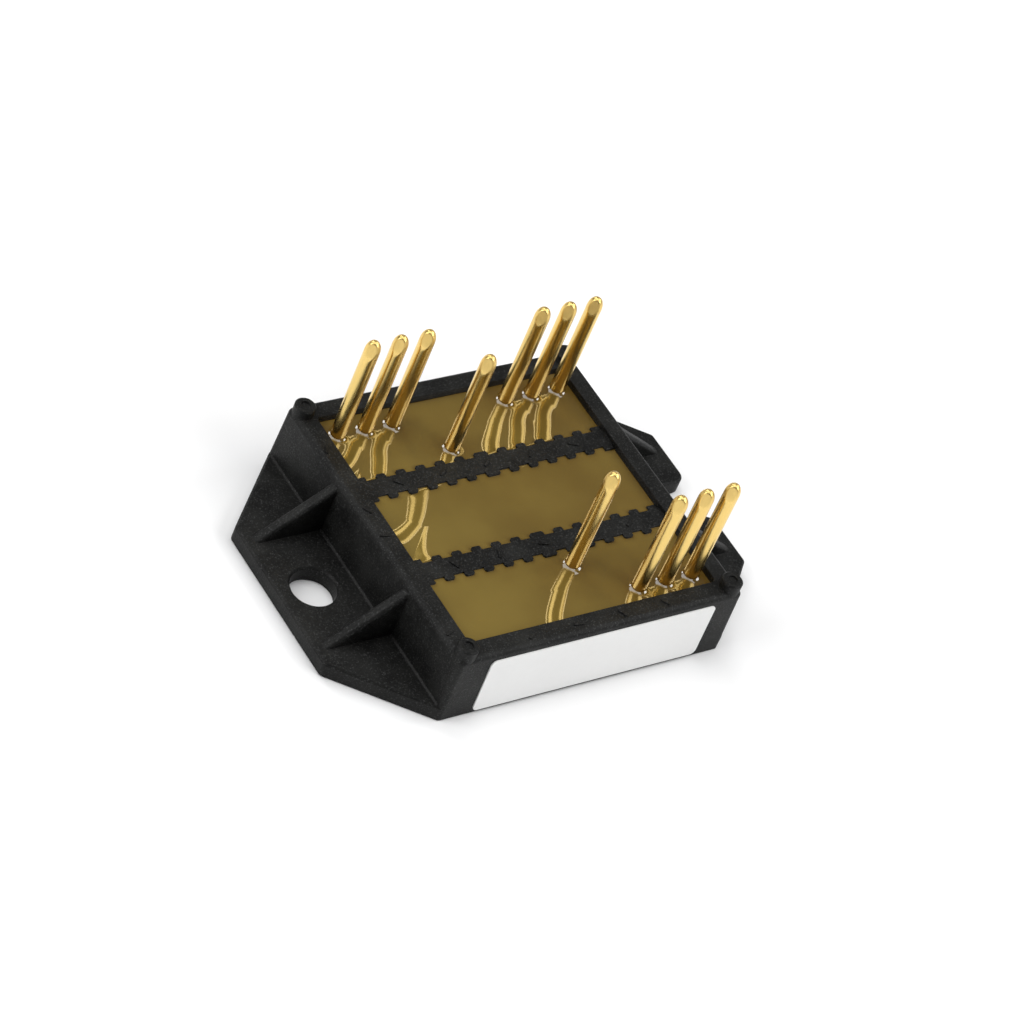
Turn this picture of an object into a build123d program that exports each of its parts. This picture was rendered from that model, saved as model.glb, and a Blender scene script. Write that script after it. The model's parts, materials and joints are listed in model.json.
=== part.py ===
from build123d import *
import os
from math import cos, radians, tan

# Thyristor module: a moulded frame with two fixing ears and two toothed bars, potted in gel over
# a copper and ceramic base plate. Eleven round pins stand up through the gel.
# Millimetres. Origin at the centre of the base copper's cooling face, X through the two ears,
# +Y towards the back row of pins, +Z along the pins.

# Body
body_x = 32.5
body_y = 32.7
rim_z = 7.8
foot_z = 0.1
wall_draft = 1.5
edge_radius = 0.55
wall_top = 2.0
window_corner = 0.4

# Ears and their gusset ribs
ear_reach = 7.9
ear_outer_half = 8.5
ear_thickness = 1.6
ear_corner = 0.7
ear_edge = 0.2
hole_diameter = 4.5
hole_edge = 0.2
hole_inset = 3.75
slot_mouth_radius = 1.2
rib_y = 6.6
rib_thickness = 1.1
rib_drop = 0.75
rib_setback = 0.9
rib_root = 0.4
rib_rounding = 0.35
wall_bead = 0.12

# Toothed bars across the window
bar_drop = 0.5
bar_depth = 2.6
bar_y = 5.2
bar_core = 1.95
tooth_depth = 0.5
tooth_width = 1.0
tooth_gap = 1.2
centre_tooth_width = 1.5
tooth_corner = 0.14

# Corner studs
stud_diameter = 2.1
stud_height = 1.0
stud_edge = 0.15
dimple_diameter = 0.95
dimple_depth = 0.2

# Base plate: copper, ceramic, copper
copper_thickness = 0.3
ceramic_thickness = 0.63
ceramic_margin = 1.25
plate_clearance = 0.1
copper_margin = 0.7

# Gel and label
gel_drop = 0.62
label_thickness = 0.12
label_left = -12.4
label_right = 13.1
label_bottom = 0.4
label_top_gap = 0.3
label_corner = 0.55

# Pins: three rows of three, and one gate pin for each thyristor
pin_diameter = 1.5
pin_stand = 11.6
pin_cap_height = 0.5
pin_cap_taper = 38
pin_foot_width = 2.3
pin_foot_height = 0.5
pin_pitch = 3.05
pin_side_gap = 1.45
pin_end_gap = 1.9
gate_pin_gap = 0.575
gate_pin_2_x = 1.6

# Chips, solder and bond wires
island_gap = 0.7
island_low_y = -2.6
gate_pad_width = 2.5
gate_pad_length = 4.2
gate_pad_gap = 0.45
solder_thickness = 0.1
die_size = 8.4
die_thickness = 0.38
die_inset = 0.65
wire_diameter = 0.38
wire_count = 4
wire_pitch = 1.6
wire_foot = 0.7
gate_wire_end = 0.45
wire_inset = 1.4
wire_rise_share = 0.28
wire_turn = 30

# Heights and half sizes that follow from the above
body_height = rim_z - foot_z
top_inset = body_height * tan(radians(wall_draft))
window_x = body_x - 2 * (top_inset + wall_top)
window_y = body_y - 2 * (top_inset + wall_top)
ceramic_x = body_x - 2 * ceramic_margin
ceramic_y = body_y - 2 * ceramic_margin
ceramic_z = copper_thickness
ceramic_top = ceramic_z + ceramic_thickness
chip_floor = ceramic_top + copper_thickness
ear_tip = body_x / 2 + ear_reach
ear_top = foot_z + ear_thickness
ear_root_x = body_x / 2 - edge_radius * (1 - cos(radians(45)))
ear_root_y = body_y / 2 - edge_radius * (1 - cos(radians(45)))
hole_x = ear_tip - hole_inset
bar_top = rim_z - bar_drop
gel_top = rim_z - gel_drop
pin_tip = rim_z + pin_stand
copper_half_x = window_x / 2 - copper_margin / 2
copper_half_y = window_y / 2 - copper_margin / 2
pin_x_outer = window_x / 2 - pin_side_gap
pin_row_y = window_y / 2 - pin_end_gap
gate_pin_y = bar_y + bar_core / 2 + tooth_depth + gate_pin_gap + pin_diameter / 2
die_1_x = -copper_half_x + die_inset + die_size / 2
die_2_x = copper_half_x - die_inset - die_size / 2
die_y = island_low_y + die_inset + die_size / 2
island_a_right = die_1_x + die_size / 2 + die_inset
gate_pin_1_x = island_a_right + gate_pad_gap + gate_pad_width / 2
island_b_left = gate_pin_1_x + gate_pad_width / 2 + gate_pad_gap
island_c_left = gate_pin_2_x + gate_pad_width / 2 + gate_pad_gap
tooth_pitch = tooth_width + tooth_gap
first_tooth = centre_tooth_width / 2 + tooth_gap + tooth_width / 2
teeth_a_side = int((window_x / 2 - first_tooth) // tooth_pitch) + 1


def save(piece, name):
    """Labels one finished piece and writes its file."""
    piece.part.label = name
    export_step(piece.part, f"parts/{name}.step")


os.makedirs("parts", exist_ok=True)

# Fixing ears of the housing: a round hole on the left, a slot open to the edge on the right
with BuildPart() as ears:
    with BuildSketch(Plane.XY.offset(foot_z)) as ear_outline:
        for side in (-1, 1):
            with BuildLine():
                Polyline(
                    (side * (body_x / 2 - wall_top), -ear_root_y),
                    (side * ear_root_x, -ear_root_y),
                    (side * ear_tip, -ear_outer_half),
                    (side * ear_tip, ear_outer_half),
                    (side * ear_root_x, ear_root_y),
                    (side * (body_x / 2 - wall_top), ear_root_y),
                    close=True,
                )
            make_face()
        fillet(ear_outline.vertices().filter_by(lambda v: abs(v.X) > ear_tip - 0.01), ear_corner)
        with Locations((-hole_x, 0), (hole_x, 0)):
            Circle(hole_diameter / 2, mode=Mode.SUBTRACT)
        with Locations(((hole_x + ear_tip) / 2, 0)):
            Rectangle(ear_tip - hole_x, hole_diameter, mode=Mode.SUBTRACT)
        mouth = ear_outline.vertices().filter_by(
            lambda v: v.X > ear_tip - 0.01 and abs(v.Y) < hole_diameter
        )
        fillet(mouth, slot_mouth_radius)
    extrude(amount=ear_thickness)
    top_edges = ears.faces().sort_by(Axis.Z)[-2:].edges()
    outer_top_edges = top_edges.filter_by(
        lambda e: abs(e.center().X) > (body_x + ear_reach) / 2 and abs(e.center().Y) > hole_diameter / 2
    )
    chamfer(outer_top_edges, ear_edge)
    hole_top_edge = ears.edges().filter_by(GeomType.CIRCLE).filter_by(
        lambda e: e.center().Z > ear_top - 0.01 and e.is_closed
    )
    chamfer(hole_top_edge, hole_edge)

# Gusset ribs from the walls down to the ears, with rounded backs
with BuildPart() as ribs:
    rib_slope = (ear_top - rim_z + rib_drop) / (ear_tip - rib_setback - body_x / 2 + top_inset)
    for y in (-rib_y, rib_y):
        with BuildSketch(Plane.XZ.offset(-y)):
            for side in (-1, 1):
                with BuildLine():
                    Polyline(
                        (side * (body_x / 2 - wall_top), ear_top - rib_root),
                        (side * (ear_tip - rib_setback - rib_root / rib_slope), ear_top - rib_root),
                        (side * (body_x / 2 - top_inset), rim_z - rib_drop),
                        (side * (body_x / 2 - wall_top), rim_z - rib_drop),
                        close=True,
                    )
                make_face()
        extrude(amount=rib_thickness / 2, both=True)
    slope_edges = ribs.edges().filter_by(
        lambda e: e.length > ear_reach and ear_top < e.center().Z < rim_z - rib_drop - 0.01
    )
    fillet(slope_edges, rib_rounding)

# Housing: one moulding with its ears, ribs, bars and studs
with BuildPart() as housing:
    with BuildSketch(Plane.XY.offset(foot_z)):
        Rectangle(body_x, body_y)
    extrude(amount=body_height, taper=wall_draft)
    upright_edges = housing.edges().filter_by(Axis.Z, tolerance=2 * wall_draft)
    rim_edges = housing.faces().sort_by(Axis.Z)[-1].edges()
    fillet(upright_edges + rim_edges, edge_radius)
    add(ears.part)

    # Small bead in the corner between each side wall and its ear
    with BuildSketch(Plane.XZ):
        for side in (-1, 1):
            with BuildLine():
                Polyline(
                    (side * (body_x / 2 - wall_top), ear_top - ear_thickness / 2),
                    (side * (body_x / 2 + wall_bead), ear_top - ear_thickness / 2),
                    (side * (body_x / 2 + wall_bead), ear_top),
                    (side * (body_x / 2 - wall_bead), ear_top + 2 * wall_bead),
                    (side * (body_x / 2 - wall_top), ear_top + 2 * wall_bead),
                    close=True,
                )
            make_face()
    extrude(amount=body_y / 2 - edge_radius, both=True)

    add(ribs.part)

    # Window for the gel, and the rebate for the ceramic plate
    with BuildSketch(Plane.XY.offset(foot_z)):
        RectangleRounded(window_x, window_y, window_corner)
    extrude(amount=body_height, mode=Mode.SUBTRACT)
    with BuildSketch(Plane.XY.offset(foot_z)):
        Rectangle(ceramic_x + 2 * plate_clearance, ceramic_y + 2 * plate_clearance)
    extrude(amount=ceramic_top - foot_z, mode=Mode.SUBTRACT)

    # Bars with teeth on both sides
    with BuildSketch(Plane.XY.offset(bar_top)) as bar_outline:
        with Locations((0, -bar_y), (0, bar_y)):
            Rectangle(window_x, bar_core)
            Rectangle(centre_tooth_width, bar_core + 2 * tooth_depth)
        for side in (-1, 1):
            for step in range(teeth_a_side):
                tooth_x = side * (first_tooth + step * tooth_pitch)
                with Locations((tooth_x, -bar_y), (tooth_x, bar_y)):
                    Rectangle(tooth_width, bar_core + 2 * tooth_depth)
        tooth_corners = bar_outline.vertices().filter_by(
            lambda v: abs(abs(v.Y) - bar_y) > (bar_core + tooth_depth) / 2 and abs(v.X) < window_x / 2 - tooth_gap
        )
        chamfer(tooth_corners, tooth_corner)
        with GridLocations(window_x, 2 * bar_y, 2, 2):
            Rectangle(wall_top, bar_core)
    extrude(amount=-bar_depth)

    # Studs on the four corners of the rim
    stud_places = GridLocations(
        body_x - 2 * top_inset - stud_diameter, body_y - 2 * top_inset - stud_diameter, 2, 2
    )
    with BuildSketch(Plane.XY.offset(rim_z - stud_height)):
        with stud_places:
            Circle(stud_diameter / 2)
    extrude(amount=2 * stud_height)
    chamfer(housing.edges().filter_by(GeomType.CIRCLE).sort_by(Axis.Z)[-4:], stud_edge)
    with BuildSketch(Plane.XY.offset(rim_z + stud_height)):
        with stud_places:
            Circle(dimple_diameter / 2)
    extrude(amount=-dimple_depth, mode=Mode.SUBTRACT)
save(housing, "housing")

# Base plate
with BuildPart() as base_copper:
    with BuildSketch(Plane.XY):
        Rectangle(ceramic_x - 2 * copper_margin, ceramic_y - 2 * copper_margin)
    extrude(amount=copper_thickness)
save(base_copper, "base_copper")

with BuildPart() as ceramic_plate:
    with BuildSketch(Plane.XY.offset(ceramic_z)):
        Rectangle(ceramic_x, ceramic_y)
    extrude(amount=ceramic_thickness)
save(ceramic_plate, "ceramic_plate")


def copper_pad(name, left, right, low, high):
    """Makes one flat copper island on the ceramic, from its four sides."""
    with BuildPart() as pad:
        with BuildSketch(Plane.XY.offset(ceramic_top)):
            with Locations(((left + right) / 2, (low + high) / 2)):
                Rectangle(right - left, high - low)
        extrude(amount=copper_thickness)
    save(pad, name)
    return pad


island_a = copper_pad("copper_island_a", -copper_half_x, island_a_right, island_low_y, copper_half_y)
island_b = copper_pad("copper_island_b", island_b_left, copper_half_x, island_low_y, copper_half_y)
island_c_high = island_low_y - island_gap
island_c = copper_pad("copper_island_c", island_c_left, copper_half_x, -copper_half_y, island_c_high)
gate_pads = []
for number, pad_x, pad_y in ((1, gate_pin_1_x, gate_pin_y), (2, gate_pin_2_x, -gate_pin_y)):
    gate_pads.append(
        copper_pad(
            f"gate_pad_{number}",
            pad_x - gate_pad_width / 2,
            pad_x + gate_pad_width / 2,
            pad_y - gate_pad_length / 2,
            pad_y + gate_pad_length / 2,
        )
    )

# Thyristor chips, each on a thin layer of solder
die_floor = chip_floor + solder_thickness
die_top = die_floor + die_thickness
solders = []
dies = []
for number, die_x in ((1, die_1_x), (2, die_2_x)):
    with BuildPart() as solder:
        with BuildSketch(Plane.XY.offset(chip_floor)):
            with Locations((die_x, die_y)):
                Rectangle(die_size, die_size)
        extrude(amount=solder_thickness)
    save(solder, f"die_solder_{number}")
    solders.append(solder)
    with BuildPart() as die:
        with BuildSketch(Plane.XY.offset(die_floor)):
            with Locations((die_x, die_y)):
                Rectangle(die_size, die_size)
        extrude(amount=die_thickness)
    save(die, f"thyristor_die_{number}")
    dies.append(die)


def wire_path(plane, length):
    """One looped wire centre line in a plane, from the chip's top down to the copper."""
    high = die_top + wire_diameter / 2
    low = chip_floor + wire_diameter / 2
    rise = wire_rise_share * length
    span = length - 2 * wire_foot
    with BuildLine(plane) as path:
        Polyline(
            (0, high),
            (wire_foot, high),
            (wire_foot + span / 4, high + rise),
            (wire_foot + span * 3 / 5, high + rise * 3 / 4),
            (length - wire_foot, low),
            (length, low),
        )
    return path.line


def wire_group(name, start, step, heading, length, count):
    """A row of equal six-sided bond wires, each swept along its loop, flat side down."""
    with BuildPart() as wires:
        for index in range(count):
            shift = (index - (count - 1) / 2) * step
            plane = Plane(origin=start + shift, x_dir=heading, z_dir=heading.cross(Vector(0, 0, 1)))
            path = wire_path(plane, length)
            with BuildSketch(Plane(origin=path @ 0, x_dir=(0, 0, 1), z_dir=path % 0)):
                RegularPolygon(wire_diameter / 2, 6, major_radius=False, rotation=wire_turn)
            sweep(path=path, transition=Transition.RIGHT)
    save(wires, name)
    return wires


main_wire_1 = island_b_left + wire_inset - (die_1_x + die_size / 2 - wire_inset)
main_wire_2 = die_y - die_size / 2 + wire_inset - (island_c_high - wire_inset)
gate_reach = die_size / 2 - wire_inset / 2
gate_landing_y = gate_pin_y - gate_pad_length / 2 + gate_wire_end
gate_wire_1_start = Vector(die_1_x + gate_reach, die_y + gate_reach, 0)
gate_wire_1_end = Vector(gate_pin_1_x, gate_landing_y, 0)
gate_wire_2_start = Vector(die_2_x - gate_reach, die_y - gate_reach, 0)
gate_wire_2_end = Vector(gate_pin_2_x, -gate_landing_y, 0)
wire_groups = [
    wire_group(
        "bond_wires_1",
        Vector(die_1_x + die_size / 2 - wire_inset, die_y - wire_pitch / 2, 0),
        Vector(0, wire_pitch, 0),
        Vector(1, 0, 0),
        main_wire_1,
        wire_count,
    ),
    wire_group(
        "bond_wires_2",
        Vector(die_2_x + wire_pitch / 2, die_y - die_size / 2 + wire_inset, 0),
        Vector(wire_pitch, 0, 0),
        Vector(0, -1, 0),
        main_wire_2,
        wire_count,
    ),
    wire_group(
        "gate_wire_1",
        gate_wire_1_start,
        Vector(0, 0, 0),
        (gate_wire_1_end - gate_wire_1_start).normalized(),
        (gate_wire_1_end - gate_wire_1_start).length,
        1,
    ),
    wire_group(
        "gate_wire_2",
        gate_wire_2_start,
        Vector(0, 0, 0),
        (gate_wire_2_end - gate_wire_2_start).normalized(),
        (gate_wire_2_end - gate_wire_2_start).length,
        1,
    ),
]

# Pins: round shafts with coned ends, on small eight-sided feet
row_x = [pin_x_outer - 2 * pin_pitch, pin_x_outer - pin_pitch, pin_x_outer]
pin_places = [(-x, pin_row_y) for x in reversed(row_x)]
pin_places += [(gate_pin_1_x, gate_pin_y)]
pin_places += [(x, pin_row_y) for x in row_x]
pin_places += [(gate_pin_2_x, -gate_pin_y)]
pin_places += [(x, -pin_row_y) for x in row_x]
pins = []
for number, (pin_x, pin_y) in enumerate(pin_places, start=1):
    with BuildPart() as pin:
        with BuildSketch(Plane((pin_x, pin_y, chip_floor))):
            RegularPolygon(pin_foot_width / 2, 8, major_radius=False)
        extrude(amount=pin_foot_height)
        with BuildSketch(Plane((pin_x, pin_y, chip_floor))):
            Circle(pin_diameter / 2)
        extrude(amount=pin_tip - pin_cap_height - chip_floor)
        with BuildSketch(Plane((pin_x, pin_y, pin_tip - pin_cap_height))):
            Circle(pin_diameter / 2)
        extrude(amount=pin_cap_height, taper=pin_cap_taper)
    save(pin, f"pin_{number}")
    pins.append(pin)

# Potting gel: fills the frame over the plate, round everything that stands in it
with BuildPart() as potting_gel:
    with BuildSketch(Plane.XY.offset(ceramic_top)):
        RectangleRounded(window_x, window_y, window_corner)
    extrude(amount=gel_top - ceramic_top)
    for inner in [housing, island_a, island_b, island_c, *gate_pads, *solders, *dies, *wire_groups, *pins]:
        add(inner.part, mode=Mode.SUBTRACT)
save(potting_gel, "potting_gel")

# Label: a blank film on the drafted front wall
with BuildPart() as label:
    label_foot = Vector((label_left + label_right) / 2, -body_y / 2, foot_z)
    wall_plane = Plane(origin=label_foot, x_dir=(1, 0, 0), z_dir=(0, -1, 0)).rotated((-wall_draft, 0, 0))
    label_height = rim_z - edge_radius - label_top_gap - label_bottom
    with BuildSketch(wall_plane):
        with Locations((0, label_bottom + label_height / 2 - foot_z)):
            RectangleRounded(label_right - label_left, label_height, label_corner)
    extrude(amount=label_thickness)
save(label, "label")
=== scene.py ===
"""Dresses the thyristor module: moulded frame, amber gel, gold pins and blank label."""

import json
import logging
import math
from dataclasses import dataclass, field
from enum import Enum

import bmesh
import bpy
from bpy.types import Material, Node, NodeSocket, NodeTree, Object
from mathutils import Matrix, Vector


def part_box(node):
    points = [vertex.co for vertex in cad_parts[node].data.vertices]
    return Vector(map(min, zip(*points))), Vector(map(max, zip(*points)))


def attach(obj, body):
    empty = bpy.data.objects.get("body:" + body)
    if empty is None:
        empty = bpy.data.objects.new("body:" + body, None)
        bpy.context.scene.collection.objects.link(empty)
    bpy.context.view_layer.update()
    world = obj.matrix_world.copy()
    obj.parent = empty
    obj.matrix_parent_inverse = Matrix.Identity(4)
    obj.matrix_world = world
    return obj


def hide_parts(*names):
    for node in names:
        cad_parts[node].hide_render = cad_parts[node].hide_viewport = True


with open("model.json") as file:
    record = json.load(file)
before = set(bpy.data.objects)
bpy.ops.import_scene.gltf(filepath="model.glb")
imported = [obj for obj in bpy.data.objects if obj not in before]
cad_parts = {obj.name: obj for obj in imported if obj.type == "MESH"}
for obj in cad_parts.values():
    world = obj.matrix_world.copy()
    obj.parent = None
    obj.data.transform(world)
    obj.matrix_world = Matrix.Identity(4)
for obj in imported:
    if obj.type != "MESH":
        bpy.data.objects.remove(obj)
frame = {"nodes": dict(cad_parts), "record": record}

MM = 0.001
SEED = 7.0
CORNERS = ((-1, -1), (1, -1), (1, 1), (-1, 1))
Colour = tuple[float, float, float]
log = logging.getLogger("module")


class Target(Enum):
    """What of a helper a distance is measured to."""

    EDGES = "EDGES"
    FACES = "FACES"


class Graph:
    """A small helper that adds nodes to a node tree and links them."""

    def __init__(self, tree: NodeTree) -> None:
        """Keeps the tree.

        Args:
            tree: The shader or geometry node tree to add to.
        """
        self.tree = tree

    def node(self, kind: str, values: dict | None = None, **settings: object) -> Node:
        """Adds one node.

        Args:
            kind: The node's type name.
            values: Input name or index to a value, or to an output socket to link.
            settings: Properties of the node itself.

        Returns:
            The new node.
        """
        made = self.tree.nodes.new(kind)
        for name, value in settings.items():
            setattr(made, name, value)
        for name, value in (values or {}).items():
            self.fill(made.inputs[name], value)
        return made

    def fill(self, socket: NodeSocket, value: object) -> None:
        """Links a socket to another one, or sets its value.

        Args:
            socket: The input socket.
            value: A value or an output socket.
        """
        if isinstance(value, NodeSocket):
            self.tree.links.new(value, socket)
        else:
            socket.default_value = value

    def math(
        self, operation: str, first: object, second: object = 0.0, third: object = 0.0
    ) -> NodeSocket:
        """Adds a Math node.

        Args:
            operation: The Math node's operation.
            first: A number or a socket.
            second: A number or a socket.
            third: A number or a socket.

        Returns:
            The node's output.
        """
        values = {0: first, 1: second, 2: third}
        return self.node("ShaderNodeMath", values, operation=operation).outputs[0]

    def plus(self, first: object, second: object) -> NodeSocket:
        """The sum of two numbers or sockets."""
        return self.math("ADD", first, second)

    def less(self, first: object, second: object) -> NodeSocket:
        """The first number or socket less the second."""
        return self.math("SUBTRACT", first, second)

    def times(self, first: object, second: object) -> NodeSocket:
        """The product of two numbers or sockets."""
        return self.math("MULTIPLY", first, second)

    def over(self, first: object, second: object) -> NodeSocket:
        """The first number or socket divided by the second."""
        return self.math("DIVIDE", first, second)

    def vector(self, x: object = 0.0, y: object = 0.0, z: object = 0.0) -> NodeSocket:
        """A vector from three numbers or sockets."""
        return self.node("ShaderNodeCombineXYZ", {0: x, 1: y, 2: z}).outputs[0]

    def ramp(self, factor: NodeSocket, low: float, high: float) -> NodeSocket:
        """Maps a value smoothly from low..high to 0..1.

        Args:
            factor: The value to map.
            low: The value that gives 0.
            high: The value that gives 1.

        Returns:
            The mapped value.
        """
        values = {"Value": factor, "From Min": low, "From Max": high, "To Min": 0.0, "To Max": 1.0}
        made = self.node("ShaderNodeMapRange", values, interpolation_type="SMOOTHSTEP")
        return made.outputs[0]

    def mix(self, factor: object, first: object, second: object) -> NodeSocket:
        """Mixes two colours.

        Args:
            factor: A number or a socket from 0 to 1.
            first: A colour or a socket.
            second: A colour or a socket.

        Returns:
            The mixed colour.
        """
        made = self.node("ShaderNodeMix", data_type="RGBA")
        for index, value in ((0, factor), (6, first), (7, second)):
            self.fill(made.inputs[index], value)
        return made.outputs[2]

    def noise(
        self, where: NodeSocket, size_mm: float, detail: float, rough: float = 0.5
    ) -> NodeSocket:
        """Adds a Noise texture.

        Args:
            where: The coordinates.
            size_mm: The size of its features.
            detail: Its octaves.
            rough: Its roughness.

        Returns:
            The noise value.
        """
        scale = 1.0 / (size_mm * MM)
        values = {"Vector": where, "Scale": scale, "Detail": detail, "Roughness": rough}
        return self.node("ShaderNodeTexNoise", values).outputs[0]


@dataclass(frozen=True)
class Finish:
    """What a surface is made of and how it reflects."""

    name: str
    colour: Colour
    roughness: float
    metallic: float = 0.0
    specular: float = 0.5
    grain_mm: float = 0.3
    grain_depth_mm: float = 0.0
    mottle: float = 0.1
    edge_mm: float = 0.0
    broad_times: float = 14.0
    broad_share: float = 0.6
    shade_range: tuple[float, float] = (0.32, 0.68)
    gloss_spread: float = 0.25

    def material(self) -> Material:
        """Builds the node material.

        Returns:
            The material.
        """
        made = bpy.data.materials.new(self.name)
        made.use_nodes = True
        shader = made.node_tree.nodes["Principled BSDF"]
        graph = Graph(made.node_tree)
        self.dress(graph, shader, graph.node("ShaderNodeTexCoord").outputs["Object"])
        return made

    def shade(self, factor: float) -> tuple[float, float, float, float]:
        """The colour times a factor, at most 1, as four numbers."""
        return (*[min(1.0, c * factor) for c in self.colour], 1.0)

    def dress(self, graph: Graph, shader: Node, where: NodeSocket) -> None:
        """Fills the shader's sockets.

        Args:
            graph: The material's tree.
            shader: Its Principled shader.
            where: Object coordinates.
        """
        link = graph.tree.links.new
        broad = graph.noise(where, self.grain_mm * self.broad_times, 3.0)
        fine = graph.noise(where, self.grain_mm, 4.0, 0.6)
        part = graph.times(broad, self.broad_share)
        both = graph.ramp(
            graph.plus(part, graph.times(fine, 1.0 - self.broad_share)), *self.shade_range
        )
        colour = graph.mix(both, self.shade(1.0 - self.mottle), self.shade(1.0 + self.mottle))
        link(colour, shader.inputs["Base Color"])
        spread = self.gloss_spread * self.roughness
        gloss = graph.math("MULTIPLY_ADD", fine, spread, self.roughness - spread / 2)
        link(gloss, shader.inputs["Roughness"])
        shader.inputs["Metallic"].default_value = self.metallic
        shader.inputs["Specular IOR Level"].default_value = self.specular
        normal = None
        if self.edge_mm > 0:
            values = {"Radius": self.edge_mm * MM}
            normal = graph.node("ShaderNodeBevel", values, samples=6).outputs[0]
        if self.grain_depth_mm > 0:
            values = {"Height": fine, "Strength": 1.0, "Distance": self.grain_depth_mm * MM}
            if normal is not None:
                values["Normal"] = normal
            normal = graph.node("ShaderNodeBump", values).outputs[0]
        if normal is not None:
            link(normal, shader.inputs["Normal"])


@dataclass(frozen=True)
class MouldedPlastic(Finish):
    """Black glass-filled plastic with the fine grain of its mould and paler fibres."""

    fibre_colour: Colour = (0.045, 0.046, 0.045)
    fibre_mm: float = 0.16
    fibre_range: tuple[float, float] = (0.54, 0.70)
    fibre_share: float = 0.8

    def dress(self, graph: Graph, shader: Node, where: NodeSocket) -> None:
        """Adds scattered pale fibres over the plain finish.

        Args:
            graph: The material's tree.
            shader: Its Principled shader.
            where: Object coordinates.
        """
        super().dress(graph, shader, where)
        plain = shader.inputs["Base Color"].links[0].from_socket
        specks = graph.ramp(graph.noise(where, self.fibre_mm, 2.0, 0.7), *self.fibre_range)
        amount = graph.times(specks, self.fibre_share)
        speckled = graph.mix(amount, plain, (*self.fibre_colour, 1.0))
        graph.tree.links.new(speckled, shader.inputs["Base Color"])


@dataclass(frozen=True)
class GoldPlating(Finish):
    """Bright gold plate with faint drawing marks along the pin and a rougher, pressed tip."""

    stretch: float = 0.12
    tip_mm: float = 17.9
    tip_blend_mm: float = 0.3
    tip_roughness: float = 0.38
    dent_mm: float = 0.22
    dent_depth_mm: float = 0.018

    def dress(self, graph: Graph, shader: Node, where: NodeSocket) -> None:
        """Stretches the grain along the pin and dents its tip.

        Args:
            graph: The material's tree.
            shader: Its Principled shader.
            where: Object coordinates.
        """
        values = {"Vector": where, "Scale": (1.0, 1.0, self.stretch)}
        super().dress(graph, shader, graph.node("ShaderNodeMapping", values).outputs[0])
        height = graph.node("ShaderNodeSeparateXYZ", {0: where}).outputs["Z"]
        low, high = self.tip_mm - self.tip_blend_mm, self.tip_mm + self.tip_blend_mm
        tip = graph.ramp(height, low * MM, high * MM)
        press = graph.noise(where, self.dent_mm, 2.0)
        plain = shader.inputs["Roughness"].links[0].from_socket
        rougher = graph.math("MULTIPLY_ADD", tip, self.tip_roughness - self.roughness, plain)
        values = {"Height": press, "Strength": tip, "Distance": self.dent_depth_mm * MM}
        values["Normal"] = shader.inputs["Normal"].links[0].from_socket
        dented = graph.node("ShaderNodeBump", values).outputs[0]
        graph.tree.links.new(rougher, shader.inputs["Roughness"])
        graph.tree.links.new(dented, shader.inputs["Normal"])


@dataclass(frozen=True)
class AmberGel(Finish):
    """Glossy olive amber gel, with painted shade that browns it where it meets pins, bars and
    walls.
    """

    painted_shade_colour: Colour = (0.115, 0.063, 0.009)
    pale_colour: Colour = (0.190, 0.132, 0.028)
    pale_side_mm: float = 12.0
    cloud_mm: float = 6.0
    cloud_range: tuple[float, float] = (0.3, 0.7)
    cloud_share: float = 0.45
    streak_mm: float = 0.9
    painted_shade_least: float = 0.25
    painted_shade_spread: float = 0.7
    ior: float = 1.52
    coat_ior: float = 1.75
    coat_roughness: float = 0.01

    def dress(self, graph: Graph, shader: Node, where: NodeSocket) -> None:
        """Colours the gel, and paints shade on it by its distance to what stands in it.

        Args:
            graph: The material's tree.
            shader: Its Principled shader.
            where: Object coordinates.
        """
        cloud = graph.ramp(graph.noise(where, self.cloud_mm, 2.0), *self.cloud_range)
        streak = graph.noise(where, self.streak_mm, 4.0, 0.6)
        across = graph.node("ShaderNodeSeparateXYZ", {0: where}).outputs["X"]
        leftness = graph.ramp(across, self.pale_side_mm * MM, -self.pale_side_mm * MM)
        side = graph.times(leftness, 1.0 - self.cloud_share)
        pale = graph.math("MULTIPLY_ADD", cloud, self.cloud_share, side)
        body = graph.mix(pale, (*self.colour, 1.0), (*self.pale_colour, 1.0))
        # Painted shade: the gel turns browner towards the pins, bars and walls, by the stored mask
        # 'near'
        near = graph.node("ShaderNodeAttribute", attribute_name="near").outputs["Fac"]
        uneven = graph.math("MULTIPLY_ADD", streak, self.painted_shade_spread, self.painted_shade_least)
        colour = graph.mix(graph.times(near, uneven), body, (*self.painted_shade_colour, 1.0))
        graph.tree.links.new(colour, shader.inputs["Base Color"])
        shader.inputs["Roughness"].default_value = self.roughness
        shader.inputs["IOR"].default_value = self.ior
        shader.inputs["Coat Weight"].default_value = 1.0
        shader.inputs["Coat Roughness"].default_value = self.coat_roughness
        shader.inputs["Coat IOR"].default_value = self.coat_ior


BLACK_PLASTIC = MouldedPlastic(
    "black_plastic", (0.0075, 0.0076, 0.0070), 0.5,
    specular=0.16, grain_mm=0.2, grain_depth_mm=0.03, mottle=0.7, edge_mm=0.12,
)
GOLD = GoldPlating(
    "gold_plating", (0.85, 0.61, 0.21), 0.24,
    metallic=1.0, grain_mm=0.12, grain_depth_mm=0.0012, mottle=0.06,
)
GEL = AmberGel("amber_gel", (0.138, 0.088, 0.017), 0.03)
FILM = Finish(
    "white_label", (0.86, 0.86, 0.85), 0.42,
    grain_mm=0.5, grain_depth_mm=0.001, mottle=0.015, edge_mm=0.03,
)
COPPER = Finish(
    "copper", (0.72, 0.33, 0.19), 0.32,
    metallic=1.0, grain_mm=0.4, grain_depth_mm=0.001, mottle=0.12,
)
CERAMIC = Finish(
    "white_ceramic", (0.80, 0.79, 0.75), 0.5, grain_mm=0.2, grain_depth_mm=0.001, mottle=0.03,
)
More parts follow.
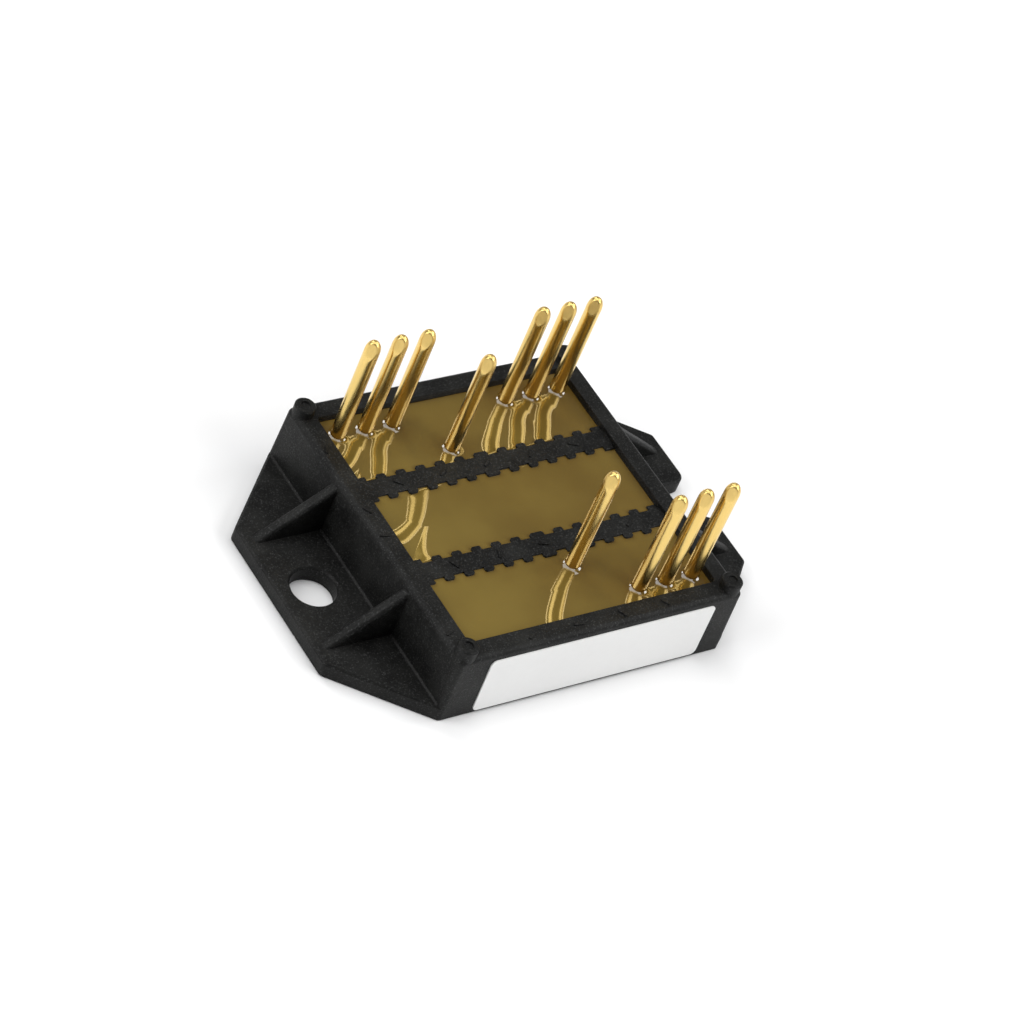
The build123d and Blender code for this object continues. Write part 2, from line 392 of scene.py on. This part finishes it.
SOLDER = Finish("solder", (0.55, 0.55, 0.56), 0.35, metallic=1.0, mottle=0.1)
SILICON = Finish("silicon", (0.16, 0.16, 0.18), 0.18, metallic=0.6, mottle=0.08)
ALUMINIUM = Finish("wire_aluminium", (0.80, 0.80, 0.82), 0.3, metallic=1.0, mottle=0.05)
FINISHES = (BLACK_PLASTIC, GOLD, GEL, FILM, COPPER, CERAMIC, SOLDER, SILICON, ALUMINIUM)


def plain_object(name: str, points: list, edges: list, faces: list) -> Object:
    """Makes an object of points, edges and faces.

    Args:
        name: Its name.
        points: Its points.
        edges: Its edges, as pairs of point numbers.
        faces: Its faces, as lists of point numbers.

    Returns:
        The object.
    """
    mesh = bpy.data.meshes.new(name)
    mesh.from_pydata(points, edges, faces)
    made = bpy.data.objects.new(name, mesh)
    bpy.context.scene.collection.objects.link(made)
    return made


def flat_patches(name: str, loops: list[list[Vector]]) -> Object:
    """Makes a hidden helper with one flat face for each closed outline.

    Args:
        name: The helper's name.
        loops: The closed outlines.

    Returns:
        The helper.
    """
    points: list[Vector] = []
    faces: list[list[int]] = []
    for loop in loops:
        faces.append(list(range(len(points), len(points) + len(loop))))
        points += loop
    return plain_object(name, points, [], faces)


def as_plain_mesh(source: Object, name: str) -> Object:
    """Turns an object and its modifiers into a plain mesh object and removes the source.

    Args:
        source: The object with its modifier.
        name: The new object's name.

    Returns:
        The plain object, with the one material that it wears.
    """
    view = bpy.context.evaluated_depsgraph_get()
    view.update()
    mesh = bpy.data.meshes.new_from_object(source.evaluated_get(view), depsgraph=view)
    source.modifiers.clear()
    bpy.data.objects.remove(source)
    finish = next(material for material in mesh.materials if material is not None)
    mesh.materials.clear()
    mesh.materials.append(finish)
    mesh.name = name
    made = bpy.data.objects.new(name, mesh)
    bpy.context.scene.collection.objects.link(made)
    return made


@dataclass
class NodeTool:
    """A geometry node group under construction, with named inputs."""

    name: str
    group: NodeTree = field(init=False)
    graph: Graph = field(init=False)
    entry: Node = field(init=False)
    exit: Node = field(init=False)

    def __post_init__(self) -> None:
        """Makes the empty group with its geometry sockets."""
        self.group = bpy.data.node_groups.new(self.name, "GeometryNodeTree")
        for way in ("INPUT", "OUTPUT"):
            self.group.interface.new_socket(
                "Geometry", in_out=way, socket_type="NodeSocketGeometry"
            )
        self.graph = Graph(self.group)
        self.entry = self.group.nodes.new("NodeGroupInput")
        self.exit = self.group.nodes.new("NodeGroupOutput")

    def sizes(self, *names: str, kind: str = "NodeSocketFloat") -> dict[str, NodeSocket]:
        """Adds named inputs.

        Args:
            names: The inputs' names.
            kind: The sockets' type.

        Returns:
            Input name to its socket inside the group.
        """
        for name in names:
            self.group.interface.new_socket(name, in_out="INPUT", socket_type=kind)
        return {name: self.entry.outputs[name] for name in names}

    def moved(
        self, shape: NodeSocket, offset: object, turn: tuple[float, float, float] = (0.0, 0.0, 0.0)
    ) -> NodeSocket:
        """Moves and turns a shape.

        Args:
            shape: The geometry.
            offset: How far to move it.
            turn: Its turn about X, Y and Z, in radians.

        Returns:
            The moved geometry.
        """
        values = {"Geometry": shape, "Translation": offset, "Rotation": turn}
        return self.graph.node("GeometryNodeTransform", values).outputs[0]

    def finish(self, shape: NodeSocket, material: Material) -> None:
        """Ends the tree in Realize Instances and Set Material.

        Args:
            shape: The geometry so far.
            material: The material to set.
        """
        real = self.graph.node("GeometryNodeRealizeInstances", {0: shape}).outputs[0]
        values = {"Geometry": real, "Material": material}
        dressed = self.graph.node("GeometryNodeSetMaterial", values).outputs[0]
        self.group.links.new(dressed, self.exit.inputs[0])

    def put_on(self, target: Object, values: dict[str, object]) -> None:
        """Adds the group to an object as a modifier and sets its inputs.

        Args:
            target: The object.
            values: Input name to value.
        """
        modifier = target.modifiers.new(self.name, "NODES")
        modifier.node_group = self.group
        for item in self.group.interface.items_tree:
            if item.item_type == "SOCKET" and item.in_out == "INPUT" and item.name in values:
                modifier[item.identifier] = values[item.name]


@dataclass
class Module:
    """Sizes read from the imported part, shared by the pieces."""

    rim_z: float = field(init=False)
    bar_z: float = field(init=False)
    gel_z: float = field(init=False)
    floor_z: float = field(init=False)
    window: Vector = field(init=False)
    pins: list[Vector] = field(init=False)
    pin_count: int = 11
    pin_radius: float = 0.75 * MM
    bar_y: float = 5.2 * MM
    bar_half: float = 0.975 * MM
    tooth_out: float = 0.5 * MM
    tooth_width: float = 1.0 * MM
    centre_tooth: float = 1.5 * MM
    tooth_gap: float = 1.2 * MM
    stud_height: float = 1.0 * MM
    bar_drop: float = 0.5 * MM

    def __post_init__(self) -> None:
        """Reads the boxes of the CAD nodes."""
        low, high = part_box("potting_gel")
        self.gel_z = high.z
        self.floor_z = low.z
        self.window = Vector((high.x, high.y, 0.0))
        self.rim_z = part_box("housing")[1].z - self.stud_height
        self.bar_z = self.rim_z - self.bar_drop
        self.pins = []
        for number in range(1, self.pin_count + 1):
            a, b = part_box(f"pin_{number}")
            self.pins.append(Vector(((a.x + b.x) / 2, (a.y + b.y) / 2, b.z)))

    def strip(self, half_y: float, middle_y: float = 0.0) -> list[Vector]:
        """A rectangle as wide as the window, at the gel's level.

        Args:
            half_y: Half its depth.
            middle_y: Where its middle lies.

        Returns:
            Its four corners, in order.
        """
        return [
            Vector((sx * self.window.x, middle_y + sy * half_y, self.gel_z)) for sx, sy in CORNERS
        ]

    def bar_outline(self, side: int) -> list[Vector]:
        """The outline of one toothed bar where the gel meets it.

        Args:
            side: 1 for the back bar, -1 for the front one.

        Returns:
            The outline's points, in order, as a closed loop.
        """
        pitch = self.tooth_width + self.tooth_gap
        first = self.centre_tooth / 2 + self.tooth_gap + self.tooth_width / 2
        count = int((self.window.x - first) // pitch) + 1
        spans = [(-self.centre_tooth / 2, self.centre_tooth / 2)]
        for middle in (sign * (first + step * pitch) for step in range(count) for sign in (-1, 1)):
            spans.append((middle - self.tooth_width / 2, middle + self.tooth_width / 2))
        out = self.bar_half + self.tooth_out
        edge: list[tuple[float, float]] = [(-self.window.x, self.bar_half)]
        for left, right in sorted(spans):
            left, right = max(left, -self.window.x), min(right, self.window.x)
            edge += [(left, self.bar_half), (left, out), (right, out), (right, self.bar_half)]
        edge.append((self.window.x, self.bar_half))
        middle_y = side * self.bar_y
        upper = [Vector((x, middle_y + y, self.gel_z)) for x, y in edge]
        lower = [Vector((x, middle_y - y, self.gel_z)) for x, y in reversed(edge)]
        return upper + lower


@dataclass
class Gel:
    """The potting gel, whose glossy top creeps up on everything that stands in it."""

    module: Module
    cell: float = 0.1 * MM
    sunk: float = 0.32 * MM
    wall_rise: float = 0.006 * MM
    wall_reach: float = 0.3 * MM
    pin_rise: float = 0.12 * MM
    pin_reach: float = 0.13 * MM
    swell: float = 0.25 * MM
    swell_reach: float = 2.4 * MM
    ripple: float = 0.012 * MM
    ripple_size: float = 3.2 * MM
    hidden_drop: float = 0.6 * MM
    overlap: float = 0.2 * MM
    touching: float = 0.001 * MM
    pin_steps: int = 32
    level: float = 0.2
    top_margin: float = 0.5 * MM

    def standing(self) -> dict[str, Object]:
        """Draws what the gel meets, at the gel's level.

        Returns:
            The helpers by input name: the window's walls, the toothed bars, the bars without
            teeth and the pins.
        """
        m = self.module
        ring = [(0, 1), (1, 2), (2, 3), (3, 0)]
        half = m.bar_half + m.tooth_out / 2
        plain = [m.strip(half, side * m.bar_y) for side in (-1, 1)]
        turns = [2 * math.pi * i / self.pin_steps for i in range(self.pin_steps)]
        circle = [m.pin_radius * Vector((math.cos(t), math.sin(t), 0.0)) for t in turns]
        pins = [[Vector((pin.x, pin.y, m.gel_z)) + spoke for spoke in circle] for pin in m.pins]
        return {
            "Walls": plain_object("wall_lines", m.strip(m.window.y), ring, []),
            "Bars": flat_patches("bar_patches", [m.bar_outline(-1), m.bar_outline(1)]),
            "Plain Bars": flat_patches("plain_patches", plain),
            "Pins": flat_patches("pin_patches", pins),
        }

    def tool(self, material: Material) -> NodeTool:
        """Builds the node tree that raises a flat sheet near its contact lines and stores a painted
        shade mask.

        Args:
            material: The gel's material.

        Returns:
            The finished tool.
        """
        tool = NodeTool("gel_surface")
        g = tool.graph
        size = tool.sizes(
            "Sunk", "Wall Rise", "Wall Reach", "Pin Rise", "Pin Reach", "Swell", "Swell Reach",
            "Ripple", "Ripple Size", "Hidden Drop", "Overlap", "Seed",
        )
        helpers = tool.sizes("Walls", "Bars", "Plain Bars", "Pins", kind="NodeSocketObject")
        shapes = {
            name: g.node("GeometryNodeObjectInfo", {"Object": socket}).outputs["Geometry"]
            for name, socket in helpers.items()
        }

        def near_to(name: str, target: Target) -> NodeSocket:
            """The distance to a helper's edges or faces."""
            made = g.node("GeometryNodeProximity", {0: shapes[name]}, target_element=target.value)
            return made.outputs["Distance"]

        def fall(distance: NodeSocket, reach: NodeSocket) -> NodeSocket:
            """Falls from 1 at no distance towards 0 past the reach."""
            return g.math("EXPONENT", g.times(g.over(distance, reach), -1.0))

        # Creep at the walls and pins, and the broad swell that bends the reflections
        side = g.math("MINIMUM", near_to("Walls", Target.EDGES), near_to("Bars", Target.FACES))
        broad = g.math(
            "MINIMUM", near_to("Walls", Target.EDGES), near_to("Plain Bars", Target.FACES)
        )
        shaft = near_to("Pins", Target.FACES)
        wall = g.times(fall(side, size["Wall Reach"]), size["Wall Rise"])
        pin = g.times(fall(shaft, size["Pin Reach"]), size["Pin Rise"])
        about = g.math("SMOOTH_MIN", broad, shaft, size["Swell Reach"])
        swell = g.times(fall(about, size["Swell Reach"]), size["Swell"])

        # Under the bars the sheet goes down, out of sight
        inside = g.math("LESS_THAN", near_to("Bars", Target.FACES), self.touching)
        deep = g.math("GREATER_THAN", near_to("Bars", Target.EDGES), size["Overlap"])
        drop = g.times(g.times(inside, deep), size["Hidden Drop"])

        place = g.node("GeometryNodeInputPosition").outputs[0]
        fine = g.over(1.0, size["Ripple Size"])
        values = {"Vector": place, "W": size["Seed"], "Scale": fine, "Detail": 1.0}
        noise = g.node("ShaderNodeTexNoise", values, noise_dimensions="4D").outputs[0]
        ripple = g.times(g.less(noise, 0.5), size["Ripple"])
        creep = g.plus(g.plus(wall, pin), g.plus(swell, ripple))
        height = g.less(g.less(creep, drop), size["Sunk"])
        values = {"Geometry": tool.entry.outputs[0], "Offset": g.vector(z=height)}
        raised = g.node("GeometryNodeSetPosition", values).outputs[0]

        # Painted shade: a mask, highest at the walls, bars and pins, that browns the gel's colour
        # there
        painted_shade_mask = g.math(
            "MAXIMUM", fall(side, size["Wall Reach"]), fall(shaft, size["Swell Reach"])
        )
        values = {"Geometry": raised, "Name": "near", "Value": painted_shade_mask}
        kept = g.node(
            "GeometryNodeStoreNamedAttribute", values, data_type="FLOAT", domain="POINT"
        ).outputs[0]
        tool.finish(g.node("GeometryNodeSetShadeSmooth", {0: kept}).outputs[0], material)
        return tool

    def sheet(self) -> Object:
        """Makes the flat grid over the window that the tree raises.

        Returns:
            The grid object.
        """
        wide, deep, level = self.module.window.x, self.module.window.y, self.module.gel_z
        nx = int(2 * wide / self.cell)
        ny = int(2 * deep / self.cell)
        points = [
            (-wide + 2 * wide * i / nx, -deep + 2 * deep * j / ny, level)
            for j in range(ny + 1)
            for i in range(nx + 1)
        ]
        row = nx + 1
        starts = [j * row + i for j in range(ny) for i in range(nx)]
        faces = [(a, a + 1, a + row + 1, a + row) for a in starts]
        return plain_object("gel_sheet", points, [], faces)

    def close(self, piece: Object) -> None:
        """Gives the raised sheet its sides and its underside on the ceramic.

        Args:
            piece: The raised sheet.
        """
        bm = bmesh.new()
        bm.from_mesh(piece.data)
        rim = [e for e in bm.edges if e.is_boundary]
        made = bmesh.ops.extrude_edge_only(bm, edges=rim)["geom"]
        for v in made:
            if isinstance(v, bmesh.types.BMVert):
                v.co.z = self.module.floor_z
        lower = [e for e in made if isinstance(e, bmesh.types.BMEdge) and e.is_boundary]
        bmesh.ops.contextual_create(bm, geom=lower)
        bmesh.ops.recalc_face_normals(bm, faces=bm.faces[:])
        top = self.module.floor_z + self.top_margin
        for face in bm.faces:
            face.smooth = abs(face.normal.z) > self.level and face.calc_center_median().z > top
        bm.to_mesh(piece.data)
        bm.free()

    def build(self, material: Material) -> Object:
        """Makes the gel as one closed piece.

        Args:
            material: The gel's material.

        Returns:
            The gel.
        """
        helpers = self.standing()
        sheet = self.sheet()
        self.tool(material).put_on(sheet, {
            "Sunk": self.sunk, "Wall Rise": self.wall_rise, "Wall Reach": self.wall_reach,
            "Pin Rise": self.pin_rise, "Pin Reach": self.pin_reach, "Swell": self.swell,
            "Swell Reach": self.swell_reach, "Ripple": self.ripple,
            "Ripple Size": self.ripple_size, "Hidden Drop": self.hidden_drop,
            "Overlap": self.overlap, "Seed": SEED, **helpers,
        })
        piece = as_plain_mesh(sheet, "gel_surface")
        for helper in helpers.values():
            bpy.data.objects.remove(helper)
        self.close(piece)
        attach(piece, "root")
        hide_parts("potting_gel")
        return piece


@dataclass
class Pins:
    """The eleven pins, with domed ends and a flat pressed into each side of the tip."""

    module: Module
    dome: float = 1.3 * MM
    dome_power: float = 2.2
    dome_root: float = 0.5
    dome_end: float = 0.985
    facet_length: float = 1.9 * MM
    facet_depth: float = 0.42 * MM
    facet_turn: float = math.radians(221)
    foot_width: float = 2.3 * MM
    foot_height: float = 0.5 * MM
    foot_sides: int = 8
    rings: int = 56
    ring_crowding: float = 2.2
    sides: int = 44

    def tool(self, material: Material) -> NodeTool:
        """Builds the node tree that turns one point into a pin.

        Args:
            material: The plating's material.

        Returns:
            The finished tool.
        """
        tool = NodeTool("pin")
        g = tool.graph
        size = tool.sizes(
            "X", "Y", "Low", "High", "Radius", "Dome", "Facet Length", "Facet Depth",
            "Facet Turn", "Foot Width", "Foot Height",
        )
        counts = tool.sizes("Rings", "Sides", kind="NodeSocketInt")

        # Centre line, with its points closer together towards the tip
        line = g.node("GeometryNodeMeshLine", {"Count": counts["Rings"]}).outputs[0]
        index = g.node("GeometryNodeInputIndex").outputs[0]
        left = g.less(1.0, g.over(index, g.less(counts["Rings"], 1.0)))
        span = g.less(size["High"], size["Low"])
        down = g.times(g.math("POWER", left, self.ring_crowding), span)
        values = {"Geometry": line, "Position": g.vector(z=g.less(size["High"], down))}
        line = g.node("GeometryNodeSetPosition", values).outputs[0]
        curve = g.node("GeometryNodeMeshToCurve", {0: line}).outputs[0]

        # Round shaft that closes in a dome
        part = g.over(g.less(size["Dome"], down), size["Dome"])
        part = g.math("MINIMUM", g.math("MAXIMUM", part, 0.0), self.dome_end)
        left = g.less(1.0, g.math("POWER", part, self.dome_power))
        radius = g.times(g.math("POWER", left, self.dome_root), size["Radius"])
        values = {"Resolution": counts["Sides"], "Radius": 1.0}
        ring = g.node("GeometryNodeCurvePrimitiveCircle", values).outputs[0]
        values = {"Curve": curve, "Profile Curve": ring, "Scale": radius, "Fill Caps": True}
        shaft = g.node("GeometryNodeCurveToMesh", values).outputs[0]

        # Two flats, one on each side of the tip
        place = g.node("GeometryNodeInputPosition").outputs[0]
        here = g.node("ShaderNodeSeparateXYZ", {0: place}).outputs
        cosine = g.math("COSINE", size["Facet Turn"])
        sine = g.math("SINE", size["Facet Turn"])
        along = g.plus(g.times(here[0], cosine), g.times(here[1], sine))
        start = g.less(size["High"], size["Facet Length"])
        above = g.math("MAXIMUM", g.less(here[2], start), 0.0)
        cut = g.times(above, g.over(size["Facet Depth"], size["Facet Length"]))
        limit = g.less(size["Radius"], cut)
        excess = g.math("MAXIMUM", g.less(g.math("ABSOLUTE", along), limit), 0.0)
        push = g.times(g.times(excess, g.math("SIGN", along)), -1.0)
        values = {"Geometry": shaft, "Offset": g.vector(g.times(push, cosine), g.times(push, sine))}
        shaft = g.node("GeometryNodeSetPosition", values).outputs[0]
        shaft = g.node("GeometryNodeSetShadeSmooth", {0: shaft}).outputs[0]

        # Foot with flat sides on the copper
        half_side = math.pi / self.foot_sides
        reach = g.over(size["Foot Width"], 2 * math.cos(half_side))
        values = {"Vertices": self.foot_sides, "Radius": reach, "Depth": size["Foot Height"]}
        foot = g.node("GeometryNodeMeshCylinder", values).outputs[0]
        middle = g.plus(size["Low"], g.over(size["Foot Height"], 2.0))
        foot = tool.moved(foot, g.vector(z=middle), (0.0, 0.0, half_side))
        both = g.node("GeometryNodeJoinGeometry")
        for piece in (foot, shaft):
            tool.group.links.new(piece, both.inputs[0])
        spot = g.vector(size["X"], size["Y"])
        tool.finish(tool.moved(both.outputs[0], spot), material)
        return tool

    def build(self, material: Material) -> list[Object]:
        """Makes one piece for each pin.

        Args:
            material: The plating's material.

        Returns:
            The pins, in order.
        """
        tool = self.tool(material)
        made = []
        for number, (x, y, high) in enumerate(self.module.pins, start=1):
            seed = plain_object(f"pin_place_{number}", [Vector((x, y, high))], [], [])
            tool.put_on(seed, {
                "X": x, "Y": y, "Low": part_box(f"pin_{number}")[0].z, "High": high,
                "Radius": self.module.pin_radius, "Dome": self.dome,
                "Facet Length": self.facet_length, "Facet Depth": self.facet_depth,
                "Facet Turn": self.facet_turn, "Foot Width": self.foot_width,
                "Foot Height": self.foot_height, "Rings": self.rings, "Sides": self.sides,
            })
            piece = as_plain_mesh(seed, f"round_pin_{number}")
            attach(piece, "root")
            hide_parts(f"pin_{number}")
            made.append(piece)
        return made


@dataclass
class Marks:
    """Small raised dashes on the rim and the bars, where the real one has its pin marks."""

    module: Module
    long: float = 1.0 * MM
    wide: float = 0.26 * MM
    high: float = 0.18 * MM
    buried: float = 0.06 * MM
    turn: float = 2.4
    front_x: tuple[float, ...] = (-7.65, -2.48, 2.57, 7.49)
    front_y: float = -15.1
    left_y: tuple[float, ...] = (10.28, 2.53, -0.67, -12.63)
    left_x: float = -15.2
    bar_x: tuple[float, ...] = (-10.0, -5.0, 0.0, 5.0, 10.0)

    def places(self) -> list[Vector]:
        """Lists where the dashes stand.

        Returns:
            The places on the rim and the bars.
        """
        m = self.module
        rim = [Vector((x * MM, self.front_y * MM, m.rim_z)) for x in self.front_x]
        rim += [Vector((self.left_x * MM, y * MM, m.rim_z)) for y in self.left_y]
        bars = [(x, side) for side in (-1, 1) for x in self.bar_x]
        return rim + [Vector((x * MM, side * m.bar_y, m.bar_z)) for x, side in bars]

    def tool(self, material: Material) -> NodeTool:
        """Builds the node tree that stands one dash on each point.

        Args:
            material: The frame's material.

        Returns:
            The finished tool.
        """
        tool = NodeTool("marks")
        g = tool.graph
        size = tool.sizes("Long", "Wide", "High", "Buried", "Turn", "Seed")
        box = g.vector(size["Long"], size["Wide"], size["High"])
        dash = g.node("GeometryNodeMeshCube", {"Size": box}).outputs[0]
        lift = g.less(g.over(size["High"], 2.0), size["Buried"])
        dash = tool.moved(dash, g.vector(z=lift))
        values = {2: -0.5, 3: 0.5, "Seed": size["Seed"]}
        random = g.node("FunctionNodeRandomValue", values, data_type="FLOAT").outputs[1]
        turn = g.vector(z=g.times(random, size["Turn"]))
        values = {"Points": tool.entry.outputs[0], "Instance": dash, "Rotation": turn}
        tool.finish(g.node("GeometryNodeInstanceOnPoints", values).outputs[0], material)
        return tool

    def build(self, material: Material) -> Object:
        """Makes all dashes as one piece.

        Args:
            material: The frame's material.

        Returns:
            The dashes.
        """
        points = plain_object("mark_places", self.places(), [], [])
        self.tool(material).put_on(points, {
            "Long": self.long, "Wide": self.wide, "High": self.high, "Buried": self.buried,
            "Turn": self.turn, "Seed": SEED,
        })
        piece = as_plain_mesh(points, "moulded_marks")
        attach(piece, "root")
        return piece


@dataclass(frozen=True)
class Lamp:
    """One soft rectangular lamp that faces the module."""

    name: str
    place: tuple[float, float, float]
    size: tuple[float, float]
    watts: float

    def hang(self) -> None:
        """Adds the lamp to the scene."""
        data = bpy.data.lights.new(self.name, "AREA")
        data.shape = "RECTANGLE"
        data.size, data.size_y = self.size
        data.energy = self.watts
        made = bpy.data.objects.new(self.name, data)
        made.location = self.place
        made.rotation_euler = (-Vector(self.place)).to_track_quat("-Z", "Y").to_euler()
        bpy.context.scene.collection.objects.link(made)


LAMPS = (
    Lamp("overhead", (0.05, 0.10, 0.75), (0.7, 0.7), 3.3),
    Lamp("left", (-0.62, 0.16, 0.44), (0.5, 0.5), 3.5),
    Lamp("right", (0.40, -0.50, 0.46), (0.5, 0.5), 3.2),
    Lamp("glint left", (-0.05, 0.62, 0.48), (0.25, 0.3), 1.2),
    Lamp("glint right", (0.62, -0.08, 0.48), (0.25, 0.3), 1.2),
)


@dataclass
class Studio:
    """The pale floor, the soft lights and the camera of the picture."""

    eye: Vector = field(default_factory=lambda: Vector((-213.358, -185.413, 261.923)) * MM)
    turn: Vector = field(default_factory=lambda: Vector((2.3439002, -0.5032831, 0.6388125)))
    focal_px: float = 4116.93
    picture_px: float = 1024.0
    sensor: float = 36.0
    near: float = 0.01
    far: float = 20.0
    floor_size: float = 3.0
    floor_grey: float = 0.88
    floor_roughness: float = 0.9
    floor_specular: float = 0.1
    sky_colour: Colour = (0.93, 0.95, 1.0)
    sky_strength: float = 0.07

    def camera(self) -> None:
        """Sets the camera that was fitted to the photograph's edges."""
        data = bpy.data.cameras.new("camera")
        data.sensor_width = self.sensor
        data.lens = self.focal_px / self.picture_px * self.sensor
        data.clip_start, data.clip_end = self.near, self.far
        made = bpy.data.objects.new("camera", data)
        right, down, forward = Matrix.Rotation(self.turn.length, 3, self.turn.normalized())
        axes = Matrix((right, -down, -forward)).transposed().to_4x4()
        made.matrix_world = Matrix.Translation(self.eye) @ axes
        bpy.context.scene.collection.objects.link(made)
        bpy.context.scene.camera = made

    def floor(self) -> None:
        """Lays the plain pale floor."""
        half = self.floor_size / 2
        points = [(sx * half, sy * half, 0) for sx, sy in CORNERS]
        made = plain_object("floor", points, [], [(0, 1, 2, 3)])
        material = bpy.data.materials.new("floor")
        material.use_nodes = True
        inputs = material.node_tree.nodes["Principled BSDF"].inputs
        inputs["Base Color"].default_value = (*[self.floor_grey] * 3, 1)
        inputs["Roughness"].default_value = self.floor_roughness
        inputs["Specular IOR Level"].default_value = self.floor_specular
        made.data.materials.append(material)

    def light(self) -> None:
        """Sets the faint sky, a lamp overhead, two at the sides and two behind for glints."""
        world = bpy.data.worlds.new("studio")
        world.use_nodes = True
        inputs = world.node_tree.nodes["Background"].inputs
        inputs["Color"].default_value = (*self.sky_colour, 1)
        inputs["Strength"].default_value = self.sky_strength
        bpy.context.scene.world = world
        for lamp in LAMPS:
            lamp.hang()

    def build(self) -> None:
        """Sets the whole studio."""
        self.camera()
        self.floor()
        self.light()
        bpy.context.scene.view_settings.view_transform = "Standard"


def dress_nodes() -> dict[str, Material]:
    """Gives every CAD node the material of its slot.

    Returns:
        Material slot name to material.
    """
    made = {finish.name: finish.material() for finish in FINISHES}
    for entry in frame["record"]["subparts"]:
        slots = frame["nodes"][entry["node"]].data.materials
        if len(slots) == 0:
            slots.append(made[entry["material_slot"]])
        for index in range(len(slots)):
            slots[index] = made[entry["material_slot"]]
        log.info("dressed %s as %s", entry["node"], entry["material_slot"])
    return made


def main() -> None:
    """Builds the pieces in order."""
    logging.basicConfig(level=logging.INFO, format="%(message)s")
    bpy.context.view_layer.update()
    materials = dress_nodes()
    module = Module()
    gel = Gel(module).build(materials["amber_gel"])
    pins = Pins(module).build(materials["gold_plating"])
    marks = Marks(module).build(materials["black_plastic"])
    for piece in (gel, *pins, marks):
        log.info("made %s with %d faces", piece.name, len(piece.data.polygons))
    Studio().build()


if __name__ == "__main__":
    main()
